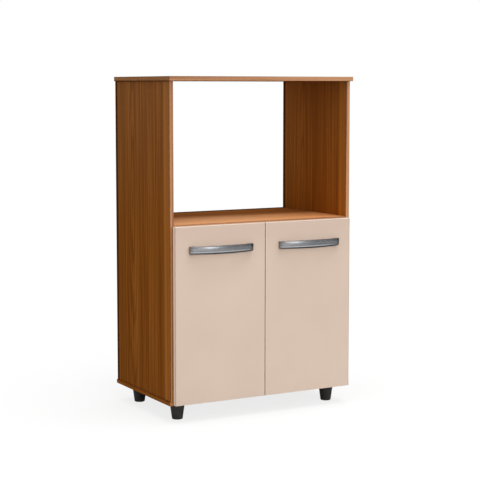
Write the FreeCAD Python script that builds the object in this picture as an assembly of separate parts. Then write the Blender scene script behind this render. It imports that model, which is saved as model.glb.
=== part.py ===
"""Microwave cabinet: an open niche over a two-door cupboard on four tapered feet.

Millimetres. +Z is up, -Y is the front, +X is to the right seen from the front.
The origin is on the floor, under the middle of the whole cabinet with its handles.
"""
import FreeCAD, Part
import math
import os

V = FreeCAD.Vector
X_AXIS = V(1, 0, 0)
Y_AXIS = V(0, 1, 0)
Z_AXIS = V(0, 0, 1)

# Carcass
carcass_width = 610.0         # across the outer faces of the side panels
side_depth = 375.0
side_height = 924.0
side_thickness = 12.0
top_thickness = 13.0
top_side_overhang = 5.0
top_front_overhang = 10.0
top_back_inset = 3.0
bottom_thickness = 12.0
bottom_side_overhang = 3.0
shelf_thickness = 12.0
cupboard_height = 501.0       # clear height between bottom panel and microwave shelf
edge_band_thickness = 1.0
panel_edge_round = 0.5
back_thickness = 3.0
back_margin = 2.0             # back panel stops this far short of the carcass outline

# Inner shelf and its pins
inner_shelf_thickness = 12.0
inner_shelf_depth = 320.0
inner_shelf_rise = 236.0      # above the bottom panel
inner_shelf_back_gap = 6.0
shelf_end_gap = 1.5
shelf_pin_radius = 2.5
shelf_pin_reach = 10.0
shelf_pin_collar_radius = 3.5
shelf_pin_collar_thickness = 1.0
shelf_pin_setback = 50.0      # from the inner shelf's front and back edges

# Feet
foot_height = 52.0
foot_top_radius = 22.8
foot_bottom_radius = 15.7
foot_bottom_round = 2.0
foot_side_setback = 47.0      # foot axis from the side panel's outer face
foot_front_setback = 53.0     # foot axis from the side panel's front edge
foot_back_setback = 60.0      # foot axis from the side panel's back edge
foot_well_radius = 5.5
foot_web = 14.0               # plastic left above the screw well

# Doors
door_thickness = 13.0
door_gap = 2.8                # between the carcass front edges and the back of a door
door_side_inset = 7.5         # door edge from the side panel's outer face
door_top_drop = 4.0           # door top below the top of the microwave shelf
door_bottom_rise = 2.0        # door bottom above the underside of the bottom panel
door_split = 2.0              # gap between the two doors
door_edge_round = 1.2
bumper_radius = 3.5
bumper_slack = 0.3
bumper_from_middle = 40.0
bumper_edge_margin = 1.5      # bumper rim below the door top or above the door bottom

# Handles
handle_length = 206.0
handle_height = 24.0
handle_end_taper = 1.4        # how far the top and the underside draw in towards each end
handle_trim = 0.5             # spare height of the section, which the front outline cuts off
handle_projection = 30.0      # front of the bow from the door face
handle_end_reach = 11.0       # front of the bow ends from the door face
handle_band = 5.5
handle_end_radius = 45.0      # front of the bow where it turns back to the door
handle_end_turn = 34.0        # degrees the bow has turned at its ends
handle_foot = 15.0            # length of the solid foot at each end
handle_drop = 69.0            # handle axis below the door top
end_overrun = 20.0            # degrees the end arcs run on, to be cut square
handle_screw_spacing = 192.0
handle_crown = 2.2            # how far the front face falls back at its top edge
handle_belly_rise = 4.0       # foremost line of the front face above the handle axis
handle_lip_rise = 4.8         # foremost line of the lip above the lower edge
handle_lip_ramp = 2.8         # height of the lip's sloping upper face
handle_lip_step = 1.6         # depth of the groove between the front face and the lip
handle_lip_fall = 3.2         # how far the lip falls back at the lower edge

# Hinges, placed from the door's own edges
hinge_handle_clearance = 6.0  # between the handle's underside and the wings of the upper hinge cup
hinge_pin_edge = 6.5          # pin axis from the door's edge
hinge_pin_radius = 1.2
hinge_pin_clearance = 0.05
hinge_pin_bite = 3.0          # length of pin held in each cheek of the cup
hub_radius = 2.0
hub_half_width = 4.0
slot_side_clearance = 0.6
slot_end_clearance = 0.4
slot_floor_clearance = 0.4
cup_radius = 17.5
cup_edge_distance = 3.0       # cup rim from the door's edge
cup_floor = 0.6
door_skin = 1.7               # door left in front of a cup
cup_flange_lip = 0.5
cup_flange_thickness = 1.2
cup_wing_half_span = 27.0
cup_wing_width = 13.0
cup_screw_spacing = 48.0
cup_screw_offset = 9.5        # screw line from the cup's centre, away from the door's edge
arm_bar_length = 13.5
arm_bar_depth = 2.8
arm_leg = 2.8
arm_half_width = 6.0
arm_start = 3.0               # arm channel from the carcass front edge
arm_length = 56.0
arm_wall = 1.4
plate_base = 2.5
plate_start = 15.0
plate_length = 46.0
plate_half_width = 8.0
plate_wing_half_span = 24.0
plate_wing_width = 16.0
plate_rib_slack = 0.4
plate_screw_setback = 37.0    # from the carcass front edge
plate_screw_spacing = 32.0
arm_screw_setback = 49.0      # from the carcass front edge

# Fixings
hole_clearance = 0.1
blind_end_clearance = 0.5
blind_cover = 3.0             # board left beyond the end of a blind hole
dowel_radius = 3.0
dowel_length = 24.0
joint_front_setback = 45.0    # front row of fixings from the carcass front edge
joint_back_setback = 55.0     # back row of fixings from the carcass back edge
dowel_offset = 34.0           # dowel from the screw or cam beside it
panel_screw_radius = 2.0
panel_screw_length = 40.0
panel_screw_head_radius = 4.0
panel_screw_head = 3.0
cap_radius = 5.5
cap_thickness = 1.8
cam_radius = 6.0
cam_cover = 2.0               # shelf left above a cam pocket
cam_reach = 24.0              # cam axis from the shelf end
cam_bolt_radius = 2.5
cam_slot_radius = 3.2
small_screw_radius = 1.6
small_screw_head_radius = 3.4
small_screw_head = 1.6
drive_slot_width = 0.9
drive_slot_depth = 1.0
handle_screw_radius = 2.0
handle_screw_head_radius = 4.2
handle_screw_head = 2.2
handle_screw_bite = 7.0
nail_radius = 0.8
nail_head_radius = 2.2
nail_head = 0.8
nail_length = 18.0
nails_across = 5
nails_up = 4

# Levels and planes worked out from the sizes above
half_width = carcass_width / 2
cam_depth = shelf_thickness - cam_cover - blind_end_clearance
cup_depth = door_thickness - door_skin - hole_clearance
hinge_pin_depth = cup_depth - cup_floor - slot_floor_clearance - hub_radius
inner_half = half_width - side_thickness
front_reach = door_gap + door_thickness + handle_projection
front_y = (front_reach - side_depth - back_thickness) / 2
back_y = front_y + side_depth
bottom_z = foot_height
floor_z = bottom_z + bottom_thickness
shelf_under_z = floor_z + cupboard_height
shelf_top_z = shelf_under_z + shelf_thickness
top_under_z = floor_z + side_height
top_z = top_under_z + top_thickness
top_seat_z = top_z - cap_thickness - panel_screw_head
bottom_seat_z = bottom_z + panel_screw_head
shelf_mid_z = shelf_under_z + shelf_thickness / 2
bottom_mid_z = bottom_z + bottom_thickness / 2
side_mid_x = half_width - side_thickness / 2
door_back_y = front_y - door_gap
door_front_y = door_back_y - door_thickness
door_outer_x = half_width - door_side_inset
door_inner_x = door_split / 2
door_mid_x = (door_outer_x + door_inner_x) / 2
door_top_z = shelf_top_z - door_top_drop
door_bottom_z = bottom_z + door_bottom_rise
handle_z = door_top_z - handle_drop
hinge_inset = handle_drop + handle_height / 2 + hinge_handle_clearance + cup_wing_half_span
hinge_levels = {"upper": door_top_z - hinge_inset, "lower": door_bottom_z + hinge_inset}
pin_x = -(door_outer_x - hinge_pin_edge)
pin_y = door_back_y - hinge_pin_depth
cup_x = -(door_outer_x - cup_edge_distance - cup_radius)
joint_rows = (front_y + joint_front_setback, back_y - joint_back_setback)
dowel_rows = (joint_rows[0] + dowel_offset, joint_rows[1] - dowel_offset)
foot_spots = {
    "front_left": (-(half_width - foot_side_setback), front_y + foot_front_setback),
    "front_right": (half_width - foot_side_setback, front_y + foot_front_setback),
    "back_left": (-(half_width - foot_side_setback), back_y - foot_back_setback),
    "back_right": (half_width - foot_side_setback, back_y - foot_back_setback),
}


def block(x0, x1, y0, y1, z0, z1):
    """Box between two corners."""
    return Part.makeBox(x1 - x0, y1 - y0, z1 - z0, V(x0, y0, z0))


def rod(start, direction, radius, length):
    """Cylinder from a point along a direction."""
    return Part.makeCylinder(radius, length, start, direction)


def bite(board):
    """Depth to which a blind fixing goes into a board."""
    return board - blind_cover - blind_end_clearance


def headed(start, direction, shank_radius, length, head_radius, head):
    """Round-headed nail: the head lies behind the start point, the shank runs on from it."""
    shank = rod(start, direction, shank_radius, length)
    return shank.fuse(rod(start - direction * head, direction, head_radius, head)).removeSplitter()


def screw(start, direction, shank_radius, length, head_radius, head):
    """Round-headed screw with a cross recess in its head."""
    shape = headed(V(0, 0, 0), Z_AXIS, shank_radius, length, head_radius, head)
    half = drive_slot_width / 2
    reach = head_radius / 2
    shape = drilled(shape, [
        block(-reach, reach, -half, half, -head, -head + drive_slot_depth),
        block(-half, half, -reach, reach, -head, -head + drive_slot_depth),
    ])
    shape.Placement = FreeCAD.Placement(start, FreeCAD.Rotation(Z_AXIS, direction))
    return shape


def drilled(shape, tools):
    """Shape with all the tools cut out of it."""
    return shape.cut(tools) if tools else shape


def rounded(shape, radius, picks=None):
    """Shape with its edges rounded, or only those that the test picks."""
    edges = [edge for edge in shape.Edges if picks is None or picks(edge)]
    return shape.makeFillet(radius, edges)


def mirrored(shape):
    """The same piece on the right-hand side."""
    return shape.mirror(V(0, 0, 0), X_AXIS)


def both_sides(shapes):
    """Left-hand pieces followed by their right-hand twins."""
    return list(shapes) + [mirrored(shape) for shape in shapes]


def save(node, shapes):
    """Writes one node, which holds one solid or a group of separate solids."""
    solids = shapes if isinstance(shapes, list) else [shapes]
    shape = solids[0] if len(solids) == 1 else Part.makeCompound(solids)
    shape.exportStep("parts/" + node + ".step")
    print(node, len(solids), "solid(s), volume", round(shape.Volume, 1))


# Fixings on the left-hand side, each with the tool that makes room for it


def side_screws(start_z, direction):
    """Long screws that hold the top or bottom panel to the left side panel's edge, at their head seats."""
    return [
        screw(V(-side_mid_x, y, start_z), direction, panel_screw_radius, panel_screw_length,
              panel_screw_head_radius, panel_screw_head)
        for y in joint_rows
    ]


def screw_room(start_z, direction):
    """Shank holes and head wells for the long screws."""
    tools = []
    for y in joint_rows:
        seat = V(-side_mid_x, y, start_z)
        length = panel_screw_length + blind_end_clearance
        tools.append(rod(seat, direction, panel_screw_radius + hole_clearance, length))
        tools.append(rod(seat - direction * panel_screw_head, direction,
                         panel_screw_head_radius + hole_clearance, panel_screw_head))
    return tools


def upright_dowels(extra_radius, extra_length):
    """Dowels at both ends of the left side panel, into the top and bottom panels, or their holes."""
    length = dowel_length + 2 * extra_length
    ends = (
        (top_under_z + bite(top_thickness) + extra_length, -Z_AXIS),
        (floor_z - bite(bottom_thickness) - extra_length, Z_AXIS),
    )
    return [
        rod(V(-side_mid_x, y, start), direction, dowel_radius + extra_radius, length)
        for start, direction in ends for y in dowel_rows
    ]


def level_dowels(extra_radius, extra_length):
    """Dowels between the left side panel and the microwave shelf, or their holes."""
    start_x = -inner_half - bite(side_thickness) - extra_length
    length = dowel_length + 2 * extra_length
    return [rod(V(start_x, y, shelf_mid_z), X_AXIS, dowel_radius + extra_radius, length) for y in dowel_rows]


def cam_bolts(extra_radius, extra_length):
    """Bolts from the left side panel into the cams of the microwave shelf, or their holes."""
    start_x = -inner_half - bite(side_thickness) - extra_length
    length = bite(side_thickness) + cam_reach + extra_length
    radius = cam_bolt_radius + extra_radius
    return [rod(V(start_x, y, shelf_mid_z), X_AXIS, radius, length) for y in joint_rows]


def cam_discs():
    """Cams in the underside of the microwave shelf, each with a slot for its bolt."""
    discs = []
    for y in joint_rows:
        centre_x = -inner_half + cam_reach
        disc = rod(V(centre_x, y, shelf_under_z), Z_AXIS, cam_radius, cam_depth)
        slot = rod(V(centre_x - cam_radius, y, shelf_mid_z), X_AXIS, cam_slot_radius, 2 * cam_radius)
        discs.append(disc.cut(slot))
    return discs


def cam_room():
    """Round pockets for the cams."""
    return [
        rod(V(-inner_half + cam_reach, y, shelf_under_z), Z_AXIS,
            cam_radius + hole_clearance, cam_depth + blind_end_clearance)
        for y in joint_rows
    ]


def shelf_pin_spots():
    """Front and back pin places, under the inner shelf."""
    back = back_y - inner_shelf_back_gap
    front = back - inner_shelf_depth
    level = floor_z + inner_shelf_rise - shelf_pin_radius
    return [(y, level) for y in (front + shelf_pin_setback, back - shelf_pin_setback)]


def shelf_pins():
    """Pins with a collar, pushed into the left side panel."""
    pins = []
    for y, z in shelf_pin_spots():
        depth = bite(side_thickness)
        stem = rod(V(-inner_half - depth, y, z), X_AXIS, shelf_pin_radius, depth + shelf_pin_reach)
        collar = rod(V(-inner_half, y, z), X_AXIS, shelf_pin_collar_radius, shelf_pin_collar_thickness)
        pins.append(stem.fuse(collar).removeSplitter())
    return pins


def shelf_pin_room():
    """Holes for the shelf pins."""
    depth = bite(side_thickness) + blind_end_clearance
    radius = shelf_pin_radius + hole_clearance
    return [rod(V(-inner_half, y, z), -X_AXIS, radius, depth) for y, z in shelf_pin_spots()]


def plate_screw_spots():
    """Screw places of the two left hinge plates."""
    y = front_y + plate_screw_setback
    return [
        (y, level + side * plate_screw_spacing / 2) for level in hinge_levels.values() for side in (-1, 1)
    ]


def plate_screws():
    """Screws that hold the left hinge plates to the side panel."""
    seat_x = -inner_half + plate_base
    length = plate_base + bite(side_thickness)
    return [
        screw(V(seat_x, y, z), -X_AXIS, small_screw_radius, length, small_screw_head_radius, small_screw_head)
        for y, z in plate_screw_spots()
    ]


def plate_screw_room():
    """Holes for those screws, through the plates and into the side panel."""
    length = plate_base + bite(side_thickness) + blind_end_clearance
    return [
        rod(V(-inner_half + plate_base, y, z), -X_AXIS, small_screw_radius + hole_clearance, length)
        for y, z in plate_screw_spots()
    ]


def nail_spots():
    """Nail places round the edge of the back panel: the middle of each board behind it."""
    across = 2 * side_mid_x
    spots = []
    for level in (bottom_mid_z, shelf_mid_z):
        for index in range(nails_across):
            spots.append((-side_mid_x + across * (index + 0.5) / nails_across, level))
    rise = shelf_mid_z - bottom_mid_z
    for x in (-side_mid_x, side_mid_x):
        for index in range(nails_up):
            spots.append((x, bottom_mid_z + rise * (index + 0.5) / nails_up))
    return spots


def nails(extra_radius, extra_length):
    """Nails with flush heads, or the room for them."""
    seat_y = back_y + back_thickness - nail_head
    return [
        headed(V(x, seat_y, z), -Y_AXIS, nail_radius + extra_radius, nail_length + extra_length,
               nail_head_radius + extra_radius, nail_head)
        for x, z in nail_spots()
    ]


# Panels


def panel(x0, x1, y0, y1, z0, z1):
    """Board with lightly eased edges behind its front edge band."""
    board = block(x0, x1, y0 + edge_band_thickness, y1, z0, z1)
    band_plane = y0 + edge_band_thickness

    def behind_band(edge):
        return any(vertex.Point.y > band_plane + panel_edge_round for vertex in edge.Vertexes)

    return rounded(board, panel_edge_round, behind_band)


def edge_band(x0, x1, y0, z0, z1):
    """Thin strip glued to a board's front edge, eased along its outer rim."""
    strip = block(x0, x1, y0, y0 + edge_band_thickness, z0, z1)

    def outer_rim(edge):
        return all(abs(vertex.Point.y - y0) < edge_band_thickness / 2 for vertex in edge.Vertexes)

    return rounded(strip, min(panel_edge_round, edge_band_thickness / 2), outer_rim)


def side_panel():
    """Left side panel with its holes."""
    tools = screw_room(top_seat_z, -Z_AXIS) + screw_room(bottom_seat_z, Z_AXIS)
    tools += upright_dowels(hole_clearance, blind_end_clearance)
    tools += level_dowels(hole_clearance, blind_end_clearance)
    tools += cam_bolts(hole_clearance, blind_end_clearance)
    tools += shelf_pin_room() + plate_screw_room() + nails(hole_clearance, blind_end_clearance)
    board = panel(-half_width, -inner_half, front_y, back_y, floor_z, top_under_z)
    return drilled(board, tools)


def top_panel():
    """Top panel with wells for the screw heads and their caps."""
    tools = screw_room(top_seat_z, -Z_AXIS) + upright_dowels(hole_clearance, blind_end_clearance)
    tools += [
        rod(V(-side_mid_x, y, top_z - cap_thickness), Z_AXIS, cap_radius + hole_clearance, cap_thickness)
        for y in joint_rows
    ]
    reach = half_width + top_side_overhang
    board = panel(-reach, reach, front_y - top_front_overhang, back_y - top_back_inset, top_under_z, top_z)
    return drilled(board, both_sides(tools))


def top_screw_caps():
    """Flush round caps over the left top screws."""
    seat_z = top_z - cap_thickness
    return [rod(V(-side_mid_x, y, seat_z), Z_AXIS, cap_radius, cap_thickness) for y in joint_rows]


def bottom_panel():
    """Bottom panel with holes for its screws, dowels, foot screws and nails."""
    tools = screw_room(bottom_seat_z, Z_AXIS) + upright_dowels(hole_clearance, blind_end_clearance)
    tools = both_sides(tools) + nails(hole_clearance, blind_end_clearance)
    for x, y in foot_spots.values():
        tools.append(rod(V(x, y, bottom_z), Z_AXIS, small_screw_radius + hole_clearance,
                         bite(bottom_thickness) + blind_end_clearance))
    reach = half_width + bottom_side_overhang
    return drilled(panel(-reach, reach, front_y, back_y, bottom_z, floor_z), tools)


def microwave_shelf():
    """Fixed shelf between the side panels."""
    tools = cam_room() + level_dowels(hole_clearance, blind_end_clearance)
    tools += cam_bolts(hole_clearance, blind_end_clearance)
    tools = both_sides(tools) + nails(hole_clearance, blind_end_clearance)
    return drilled(panel(-inner_half, inner_half, front_y, back_y, shelf_under_z, shelf_top_z), tools)


def inner_shelf():
    """Loose shelf that rests on the shelf pins."""
    reach = inner_half - shelf_end_gap
    back = back_y - inner_shelf_back_gap
    level = floor_z + inner_shelf_rise
    board = block(-reach, reach, back - inner_shelf_depth, back, level, level + inner_shelf_thickness)
    return rounded(board, panel_edge_round)


def back_panel():
    """Hardboard sheet nailed to the back edges of the cupboard."""
    reach = half_width - back_margin
    sheet = block(-reach, reach, back_y, back_y + back_thickness,
                  bottom_z + back_margin, shelf_top_z - back_margin)
    return drilled(sheet, nails(hole_clearance, blind_end_clearance))


def foot(x, y):
    """Tapered round foot with a screw well up its middle."""
    cone = Part.makeCone(foot_bottom_radius, foot_top_radius, foot_height, V(x, y, 0), Z_AXIS)

    def bottom_rim(edge):
        return edge.BoundBox.ZMax < foot_bottom_round

    cone = rounded(cone, foot_bottom_round, bottom_rim)
    well = rod(V(x, y, 0), Z_AXIS, foot_well_radius, foot_height - foot_web)
    bore = rod(V(x, y, 0), Z_AXIS, small_screw_radius + hole_clearance, foot_height)
    return drilled(cone, [well, bore])


def foot_screws():
    """One screw up through each foot into the bottom panel."""
    return [
        screw(V(x, y, foot_height - foot_web), Z_AXIS, small_screw_radius, foot_web + bite(bottom_thickness),
              small_screw_head_radius, small_screw_head)
        for x, y in foot_spots.values()
    ]


def door_bumpers():
    """Soft pads on the shelf and bottom panel, just clear of the left door's back."""
    edge = bumper_edge_margin + bumper_radius
    levels = (door_top_z - edge, door_bottom_z + edge)
    height = door_gap - bumper_slack
    return [rod(V(-bumper_from_middle, front_y, z), -Y_AXIS, bumper_radius, height) for z in levels]


# Doors and handles


def door():
    """Left door with its cup bores and screw holes."""
    board = block(-door_outer_x, -door_inner_x, door_front_y, door_back_y, door_bottom_z, door_top_z)
    board = rounded(board, door_edge_round)
    tools = []
    for level in hinge_levels.values():
        tools.append(rod(V(cup_x, door_back_y, level), -Y_AXIS, cup_radius + hole_clearance,
                         cup_depth + hole_clearance))
    for x, z in cup_screw_spots():
        tools.append(rod(V(x, door_back_y, z), -Y_AXIS, small_screw_radius + hole_clearance,
                         bite(door_thickness) + blind_end_clearance))
    for x in handle_screw_places():
        tools.append(rod(V(x, door_back_y, handle_z), -Y_AXIS, handle_screw_radius + hole_clearance,
                         door_thickness))
    return drilled(board, tools)


def handle_screw_places():
    """Screw axes of the left handle."""
    return [-door_mid_x + side * handle_screw_spacing / 2 for side in (-1, 1)]


def bow_middle():
    """Radius of the bow's flatter middle and the degrees it turns each way, from its length and rise."""
    turn = math.radians(handle_end_turn)
    along = handle_length / 2 - handle_end_radius * math.sin(turn)
    rise = handle_projection - handle_end_reach - handle_end_radius * (1 - math.cos(turn))
    middle_turn = 2 * math.atan2(rise, along)
    return handle_end_radius + along / math.sin(middle_turn), math.degrees(middle_turn)


def bow_section(depth):
    """Section at the middle of the left bow, as deep as asked behind its front face."""
    half = handle_height / 2 + handle_trim
    lip_z = -handle_height / 2 + handle_lip_rise
    points = {
        "top_back": (depth, half),
        "top_front": (handle_crown, half),
        "belly": (0.0, handle_belly_rise),
        "lip_inner": (handle_lip_step, lip_z + handle_lip_ramp),
        "lip_outer": (0.0, lip_z),
        "low_front": (handle_lip_fall, -half),
        "low_back": (depth, -half),
    }
    front_y = door_front_y - handle_projection
    place = {name: V(-door_mid_x, front_y + back, handle_z + z) for name, (back, z) in points.items()}
    edges = [
        Part.LineSegment(place["top_back"], place["top_front"]).toShape(),
        Part.Arc(place["top_front"], place["belly"], place["lip_inner"]).toShape(),
        Part.LineSegment(place["lip_inner"], place["lip_outer"]).toShape(),
        Part.LineSegment(place["lip_outer"], place["low_front"]).toShape(),
        Part.LineSegment(place["low_front"], place["low_back"]).toShape(),
        Part.LineSegment(place["low_back"], place["top_back"]).toShape(),
    ]
    return Part.Face(Part.Wire(edges))


def bow(depth):
    """The left bow's section along a flat middle arc that runs on into a tighter arc at each end."""
    radius, turn = bow_middle()
    middle_point = V(-door_mid_x, door_front_y - handle_projection + radius, 0)
    first = bow_section(depth)
    first.rotate(middle_point, Z_AXIS, -turn)
    band = first.revolve(middle_point, Z_AXIS, 2 * turn)
    for side in (-1, 1):
        last = bow_section(depth)
        last.rotate(middle_point, Z_AXIS, side * turn)
        towards_end = V(side * math.sin(math.radians(turn)), -math.cos(math.radians(turn)), 0)
        end_point = middle_point + towards_end * (radius - handle_end_radius)
        band = band.fuse(last.revolve(end_point, Z_AXIS, side * (handle_end_turn - turn + end_overrun)))
    return band


def bow_outline():
    """Space that the left bow fills from the front: its top and its underside draw in towards its ends."""
    left = -door_mid_x - handle_length / 2
    right = -door_mid_x + handle_length / 2
    front = door_front_y - handle_projection
    low = handle_z - handle_height / 2
    high = handle_z + handle_height / 2
    left_high = V(left, front, high - handle_end_taper)
    right_high = V(right, front, high - handle_end_taper)
    left_low = V(left, front, low + handle_end_taper)
    right_low = V(right, front, low + handle_end_taper)
    edges = [
        Part.Arc(left_high, V(-door_mid_x, front, high), right_high).toShape(),
        Part.LineSegment(right_high, right_low).toShape(),
        Part.Arc(right_low, V(-door_mid_x, front, low), left_low).toShape(),
        Part.LineSegment(left_low, left_high).toShape(),
    ]
    return Part.Face(Part.Wire(edges)).extrude(V(0, handle_projection, 0))


def handle():
    """Left bow handle: a thin band between two solid feet that stand on the door."""
    left = -door_mid_x - handle_length / 2
    right = -door_mid_x + handle_length / 2
    front = door_front_y - handle_projection
    low = handle_z - handle_height / 2
    high = handle_z + handle_height / 2
    outline = bow_outline()
    shape = bow(handle_band).common(outline)
    solid_bow = bow(handle_projection).common(outline)
    for start, stop in ((left, left + handle_foot), (right - handle_foot, right)):
        shape = shape.fuse(solid_bow.common(block(start, stop, front, door_front_y, low, high)))
    holes = [
        rod(V(x, door_front_y, handle_z), -Y_AXIS, handle_screw_radius + hole_clearance,
            handle_screw_bite + blind_end_clearance)
        for x in handle_screw_places()
    ]
    return drilled(shape.removeSplitter(), holes)


def handle_screws():
    """Screws through the left door into its handle."""
    return [
        screw(V(x, door_back_y, handle_z), -Y_AXIS, handle_screw_radius, door_thickness + handle_screw_bite,
              handle_screw_head_radius, handle_screw_head)
        for x in handle_screw_places()
    ]


# Hinges of the left door, one function for each piece


def cup_screw_spots():
    """Cup screw places on the left door."""
    x = cup_x + cup_screw_offset
    return [(x, level + side * cup_screw_spacing / 2) for level in hinge_levels.values() for side in (-1, 1)]


def cup_screws():
    """Screws that hold the left cups to the door."""
    seat_y = door_back_y + cup_flange_thickness
    return [
        screw(V(x, seat_y, z), -Y_AXIS, small_screw_radius, cup_flange_thickness + bite(door_thickness),
              small_screw_head_radius, small_screw_head)
        for x, z in cup_screw_spots()
    ]


def hinge_pin(level):
    """Pin across the cup's slot."""
    half = hub_half_width + slot_side_clearance + hinge_pin_bite
    return rod(V(pin_x, pin_y, level - half), Z_AXIS, hinge_pin_radius, 2 * half)


def hinge_cup(level):
    """Round cup with a flange, a slot for the arm and two cheeks that hold the pin."""
    face_y = door_back_y + cup_flange_thickness
    body = rod(V(cup_x, door_back_y, level), -Y_AXIS, cup_radius, cup_depth)
    flange = rod(V(cup_x, door_back_y, level), Y_AXIS, cup_radius + cup_flange_lip, cup_flange_thickness)
    wing_x = cup_x + cup_screw_offset - cup_wing_width / 2
    wings = block(wing_x, wing_x + cup_wing_width, door_back_y, face_y,
                  level - cup_wing_half_span, level + cup_wing_half_span)
    slot_half = hub_half_width + slot_side_clearance
    slot = block(pin_x - hub_radius - slot_end_clearance, pin_x + arm_bar_length + slot_end_clearance,
                 pin_y - hub_radius - slot_floor_clearance, face_y, level - slot_half, level + slot_half)
    pin_half = slot_half + hinge_pin_bite
    tools = [slot, rod(V(pin_x, pin_y, level - pin_half), Z_AXIS, hinge_pin_radius, 2 * pin_half)]
    for x, z in cup_screw_spots():
        tools.append(rod(V(x, door_back_y, z), Y_AXIS, small_screw_radius + hole_clearance,
                         cup_flange_thickness))
    return drilled(body.fuse(flange).fuse(wings).removeSplitter(), tools)


def hinge_arm(level):
    """Cranked arm: a hub on the pin, a bar and leg out of the cup, and a channel over the plate."""
    seat_x = -inner_half + plate_base
    leg_outer = pin_x + arm_bar_length
    channel_y = front_y + arm_start
    low = level - hub_half_width
    high = level + hub_half_width
    hub = rod(V(pin_x, pin_y, low), Z_AXIS, hub_radius, 2 * hub_half_width)
    bar = block(pin_x, leg_outer, pin_y - hub_radius, pin_y - hub_radius + arm_bar_depth, low, high)
    leg = block(leg_outer - arm_leg, leg_outer, pin_y - hub_radius, channel_y + arm_wall, low, high)
    shell = block(seat_x, leg_outer, channel_y, channel_y + arm_length,
                  level - arm_half_width, level + arm_half_width)
    hollow = block(seat_x, leg_outer - arm_wall, channel_y + arm_wall, channel_y + arm_length,
                   level - arm_half_width + arm_wall, level + arm_half_width - arm_wall)
    tools = [
        rod(V(pin_x, pin_y, low), Z_AXIS, hinge_pin_radius + hinge_pin_clearance, 2 * hub_half_width),
        rod(V(seat_x, front_y + arm_screw_setback, level), X_AXIS, small_screw_radius + hole_clearance,
            leg_outer - seat_x),
    ]
    shape = hub.fuse(bar).fuse(leg).fuse(shell.cut(hollow)).removeSplitter()
    return drilled(shape, tools)


def hinge_plate(level):
    """Plate on the side panel's inner face, with a rib inside the arm and two screw wings."""
    face_x = -inner_half
    start = front_y + plate_start
    base = block(face_x, face_x + plate_base, start, start + plate_length,
                 level - plate_half_width, level + plate_half_width)
    wing_y = front_y + plate_screw_setback - plate_wing_width / 2
    wings = block(face_x, face_x + plate_base, wing_y, wing_y + plate_wing_width,
                  level - plate_wing_half_span, level + plate_wing_half_span)
    rib_half = arm_half_width - arm_wall - plate_rib_slack
    rib_top = pin_x + arm_bar_length - arm_wall
    rib = block(face_x, rib_top, start, start + plate_length, level - rib_half, level + rib_half)
    tools = plate_screw_room()
    tools.append(rod(V(face_x + plate_base, front_y + arm_screw_setback, level), X_AXIS,
                     small_screw_radius + hole_clearance, rib_top - face_x - plate_base))
    return drilled(base.fuse(wings).fuse(rib).removeSplitter(), tools)


def arm_screws():
    """Screws that hold the left hinge arms to their plates."""
    seat_x = pin_x + arm_bar_length
    length = seat_x + inner_half - plate_base - blind_end_clearance
    return [
        screw(V(seat_x, front_y + arm_screw_setback, level), -X_AXIS, small_screw_radius, length,
              small_screw_head_radius, small_screw_head)
        for level in hinge_levels.values()
    ]


def save_pair(name, shape):
    """One piece on each side, named for its side."""
    save("left_" + name, shape)
    save("right_" + name, mirrored(shape))


def save_group_pair(name, shapes):
    """A group of fasteners on each door, named for its side."""
    save("left_" + name, shapes)
    save("right_" + name, [mirrored(shape) for shape in shapes])


def save_edge_bands():
    """Front edge bands of the five panels."""
    reach = half_width + top_side_overhang
    save("top_edge_band", edge_band(-reach, reach, front_y - top_front_overhang, top_under_z, top_z))
    reach = half_width + bottom_side_overhang
    save("bottom_edge_band", edge_band(-reach, reach, front_y, bottom_z, floor_z))
    save("shelf_edge_band", edge_band(-inner_half, inner_half, front_y, shelf_under_z, shelf_top_z))
    save_pair("side_edge_band", edge_band(-half_width, -inner_half, front_y, floor_z, top_under_z))


def build():
    """Makes every node of the cabinet."""
    os.makedirs("parts", exist_ok=True)
    save("top_panel", top_panel())
    save_pair("side_panel", side_panel())
    save("microwave_shelf", microwave_shelf())
    save("bottom_panel", bottom_panel())
    save("back_panel", back_panel())
    save("inner_shelf", inner_shelf())
    save_edge_bands()
    for spot, (x, y) in foot_spots.items():
        save(spot + "_foot", foot(x, y))
    save("foot_screws", foot_screws())
    save("shelf_pins", both_sides(shelf_pins()))
    save("wood_dowels", both_sides(upright_dowels(0, 0) + level_dowels(0, 0)))
    save("top_screws", both_sides(side_screws(top_seat_z, -Z_AXIS)))
    save("top_screw_caps", both_sides(top_screw_caps()))
    save("bottom_screws", both_sides(side_screws(bottom_seat_z, Z_AXIS)))
    save("cam_discs", both_sides(cam_discs()))
    save("cam_bolts", both_sides(cam_bolts(0, 0)))
    save("back_panel_nails", nails(0, 0))
    save("door_bumpers", both_sides(door_bumpers()))
    save("hinge_plate_screws", both_sides(plate_screws()))
    save("hinge_arm_screws", both_sides(arm_screws()))
    for name, level in hinge_levels.items():
        save_pair(name + "_hinge_plate", hinge_plate(level))
        save_pair(name + "_hinge_arm", hinge_arm(level))
        save_pair(name + "_hinge_cup", hinge_cup(level))
        save_pair(name + "_hinge_pin", hinge_pin(level))
    save_pair("door", door())
    save_pair("door_handle", handle())
    save_group_pair("door_handle_screws", handle_screws())
    save_group_pair("door_hinge_screws", cup_screws())


build()
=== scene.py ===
import math

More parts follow.
